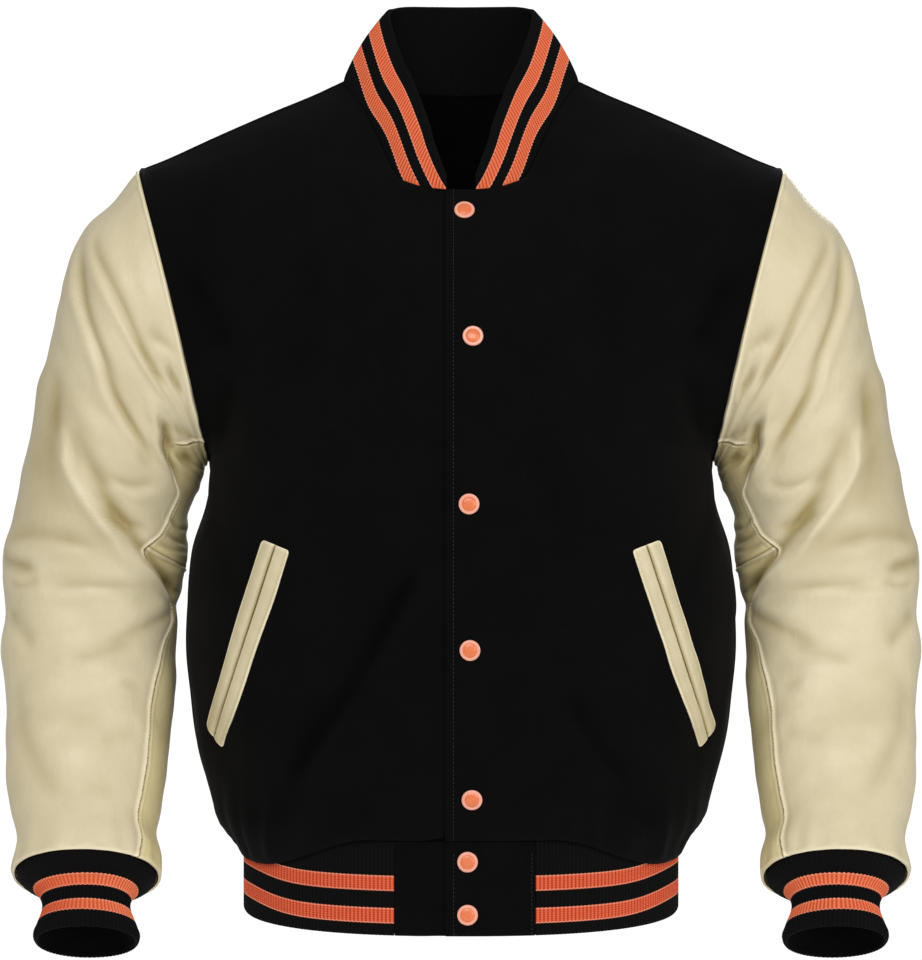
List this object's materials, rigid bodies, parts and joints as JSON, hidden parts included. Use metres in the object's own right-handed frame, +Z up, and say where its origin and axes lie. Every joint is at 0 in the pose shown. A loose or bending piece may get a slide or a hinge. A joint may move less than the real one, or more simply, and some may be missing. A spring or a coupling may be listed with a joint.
{
  "type": "varsity jacket",
  "caption": "hip-length jacket with a wool body, leather sleeves, striped rib-knit collar, cuffs and waistband, slant welt pockets and a snap front, filled out as when worn",
  "frame": {"origin": "middle of the neck base, level with the neck ends of the shoulder seams, where a wearer's neck and shoulders hold the jacket up", "axes": "+Z up, the front closing faces -Y, +X is the wearer's left, so X runs from cuff to cuff"},
  "size_m": [0.7328, 0.2977, 0.7536],
  "materials": {
    "black melton wool": "matte, short felted nap",
    "cream sheepskin": "soft satin",
    "black rib knit": "matte ribbed knit",
    "orange enamelled brass": "gloss enamel"
  },
  "bodies": {
    "root": {"back": "black melton wool", "collar": "black rib knit", "cuff_left": "black rib knit", "cuff_right": "black rib knit", "front_left": "black melton wool", "front_right": "black melton wool", "pocket_welt_front_left": "cream sheepskin", "pocket_welt_front_right": "cream sheepskin", "pocket_welt_side_left": "cream sheepskin", "pocket_welt_side_right": "cream sheepskin", "sleeve_top_left": "cream sheepskin", "sleeve_top_right": "cream sheepskin", "sleeve_under_lower_left": "cream sheepskin", "sleeve_under_lower_right": "cream sheepskin", "sleeve_under_upper_left": "cream sheepskin", "sleeve_under_upper_right": "cream sheepskin", "snap_cap_1": "orange enamelled brass", "snap_cap_2": "orange enamelled brass", "snap_cap_3": "orange enamelled brass", "snap_cap_4": "orange enamelled brass", "snap_cap_5": "orange enamelled brass", "snap_cap_6": "orange enamelled brass", "snap_cap_7": "orange enamelled brass", "waistband": "black rib knit", "waistband_tab_left": "black melton wool", "waistband_tab_right": "black melton wool"}
  },
  "joints": []
}
